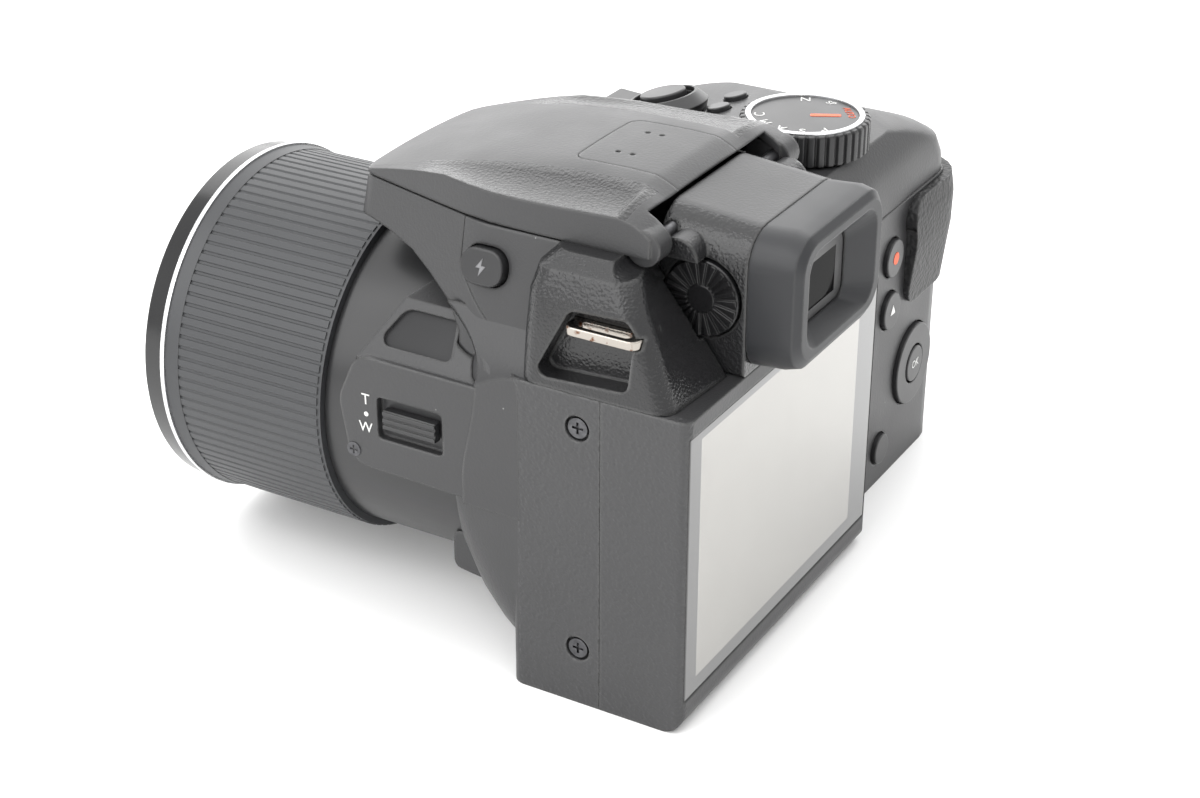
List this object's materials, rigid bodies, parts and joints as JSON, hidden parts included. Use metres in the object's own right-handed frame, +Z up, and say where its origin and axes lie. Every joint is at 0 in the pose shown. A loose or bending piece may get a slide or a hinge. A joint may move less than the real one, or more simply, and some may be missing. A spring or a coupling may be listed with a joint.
{
  "type": "bridge camera",
  "caption": "Compact bridge camera with a long fixed zoom lens, deep hand grip, pop-up flash in the hump, eye-level finder, rear screen, mode dial and keys.",
  "frame": {"origin": "centre of the tripod bush's mouth on the flat base", "axes": "-Y out of the lens, +Y out of the screen, +Z up out of the base, +X towards the user's left-hand side as held (the side away from the grip)"},
  "size_m": [0.1226, 0.1162, 0.0839],
  "materials": {
    "case_black": "fine spark-eroded grain, moulded in black",
    "inner_black": "plain matt black moulding",
    "grip_rubber": "leather-like grain, soft rubber",
    "soft_rubber": "plain matt rubber",
    "gloss_black": "polished black plastic",
    "tube_black": "smooth satin black tube",
    "bright_trim": "turned bright ring",
    "steel": "bright zinc-plated or stainless steel",
    "lens_glass": "coated optical glass",
    "screen_glass": "dark cover glass of the screen",
    "flash_glass": "clear ribbed flash window",
    "reflector": "bright reflector sheet",
    "board": "green solder resist on board",
    "cell_wrap": "plain wrapped AA cell",
    "key_black": "smooth satin key",
    "panel_dark": "dark display panel"
  },
  "bodies": {
    "camera": {"front_cover": "case_black", "rear_cover": "case_black", "top_cover": "case_black", "base_plate": "case_black", "tripod_bush": "steel", "grip_rubber": "grip_rubber", "thumb_rest": "grip_rubber", "lens_base": "inner_black", "lens_sleeve": "soft_rubber", "bright_ring": "bright_trim", "front_ring": "gloss_black", "rear_lens_cell": "inner_black", "rear_lens": "lens_glass", "image_sensor": "gloss_black", "zoom_switch_cover": "case_black", "badge_plate": "gloss_black", "flash_pins": "steel", "viewfinder_housing": "case_black", "eyecup": "soft_rubber", "eyepiece_window": "lens_glass", "finder_display": "inner_black", "strap_lugs": "steel", "case_screws": "steel", "screen_glass": "screen_glass", "screen_panel": "panel_dark", "chassis": "steel", "main_board": "board", "key_board": "board", "flash_capacitor": "inner_black", "battery_box": "inner_black", "battery_cells": "cell_wrap", "terminal_sockets": "steel"},
    "flash": {"flash_lid": "case_black", "flash_case": "inner_black", "flash_window": "flash_glass", "flash_reflector": "reflector", "flash_tube": "flash_glass", "microphone_plate": "case_black"},
    "flash_key": {"flash_button": "key_black"},
    "zoom_slider": {"zoom_slider": "key_black"},
    "shutter": {"shutter_button": "key_black"},
    "zoom_ring": {"zoom_ring": "key_black"},
    "power_key": {"power_button": "key_black"},
    "exposure_key": {"exposure_button": "key_black"},
    "dial": {"mode_dial": "key_black", "dial_ring": "bright_trim"},
    "dioptre": {"dioptre_wheel": "key_black"},
    "movie_key": {"movie_button": "key_black"},
    "play_key": {"play_button": "key_black"},
    "back_key": {"back_button": "key_black"},
    "finder_key": {"finder_button": "key_black"},
    "selector": {"selector_pad": "key_black"},
    "ok_key": {"ok_button": "key_black"},
    "door": {"battery_door": "case_black"},
    "latch": {"door_latch": "inner_black"},
    "terminal_flap": {"terminal_cover": "soft_rubber"},
    "tube_outer": {"lens_tube_outer": "tube_black"},
    "tube_inner": {"lens_tube_inner": "tube_black", "lens_trim": "tube_black", "front_lens": "lens_glass"}
  },
  "joints": [
    {"name": "flash_hinge", "type": "hinge", "parent": "camera", "child": "flash", "pos_m": [0, 0.007, 0.0776], "axis": [-1, 0, 0], "range_deg": [0, 40]},
    {"name": "flash_key_press", "type": "slide", "parent": "camera", "child": "flash_key", "axis": [-0.9778, 0, -0.2095], "range_m": [0, 0.0008], "stiffness_N_per_m": 800},
    {"name": "zoom_slider_rock", "type": "slide", "parent": "camera", "child": "zoom_slider", "axis": [0, 0, 1], "range_m": [-0.0016, 0.0016], "stiffness_N_per_m": 600},
    {"name": "shutter_press", "type": "slide", "parent": "camera", "child": "shutter", "axis": [0, 0.2419, -0.9703], "range_m": [0, 0.001], "stiffness_N_per_m": 800},
    {"name": "zoom_ring_turn", "type": "hinge", "parent": "camera", "child": "zoom_ring", "pos_m": [-0.0613, -0.0351, 0.06399], "axis": [0, -0.2419, 0.9703], "range_deg": [-20, 20], "stiffness_Nm_per_rad": 0.08},
    {"name": "power_press", "type": "slide", "parent": "camera", "child": "power_key", "axis": [0, 0.2419, -0.9703], "range_m": [0, 0.0006], "stiffness_N_per_m": 800},
    {"name": "exposure_press", "type": "slide", "parent": "camera", "child": "exposure_key", "axis": [0, 0.2419, -0.9703], "range_m": [0, 0.0006], "stiffness_N_per_m": 800},
    {"name": "dial_turn", "type": "hinge", "parent": "camera", "child": "dial", "pos_m": [-0.048, -0.0005, 0.07], "axis": [0, 0, 1], "continuous": true},
    {"name": "dioptre_turn", "type": "hinge", "parent": "camera", "child": "dioptre", "pos_m": [0.016, 0.0133, 0.0682], "axis": [1, 0, 0], "range_deg": [-60, 60]},
    {"name": "movie_press", "type": "slide", "parent": "camera", "child": "movie_key", "axis": [0, -1, 0], "range_m": [0, 0.0005], "stiffness_N_per_m": 800},
    {"name": "play_press", "type": "slide", "parent": "camera", "child": "play_key", "axis": [0, -1, 0], "range_m": [0, 0.0005], "stiffness_N_per_m": 800},
    {"name": "back_press", "type": "slide", "parent": "camera", "child": "back_key", "axis": [0, -1, 0], "range_m": [0, 0.0005], "stiffness_N_per_m": 800},
    {"name": "finder_press", "type": "slide", "parent": "camera", "child": "finder_key", "axis": [0, -1, 0], "range_m": [0, 0.0005], "stiffness_N_per_m": 800},
    {"name": "ok_press", "type": "slide", "parent": "camera", "child": "ok_key", "axis": [0, -1, 0], "range_m": [0, 0.0005], "stiffness_N_per_m": 800},
    {"name": "selector_rock", "type": "hinge", "parent": "camera", "child": "selector", "pos_m": [-0.0705, 0.0112, 0.02], "axis": [1, 0, 0], "range_deg": [-1.5, 1.5], "stiffness_Nm_per_rad": 0.8},
    {"name": "door_hinge", "type": "hinge", "parent": "camera", "child": "door", "pos_m": [-0.0683, -0.0079, 0.0005], "axis": [1, 0, 0], "range_deg": [0, 100]},
    {"name": "latch_slide", "type": "slide", "parent": "door", "child": "latch", "axis": [0, 1, 0], "range_m": [0, 0.0016]},
    {"name": "flap_hinge", "type": "hinge", "parent": "camera", "child": "terminal_flap", "pos_m": [-0.0874, -0.008, 0.02], "axis": [0, 0, 1], "range_deg": [0, 100]},
    {"name": "tube_outer_slide", "type": "slide", "parent": "camera", "child": "tube_outer", "axis": [0, -1, 0], "range_m": [0, 0.034]},
    {"name": "tube_inner_slide", "type": "slide", "parent": "tube_outer", "child": "tube_inner", "axis": [0, -1, 0], "range_m": [0, 0.034]}
  ],
  "couplings": [
    {"joint": "tube_inner_slide", "follows": "tube_outer_slide", "ratio": 1}
  ]
}
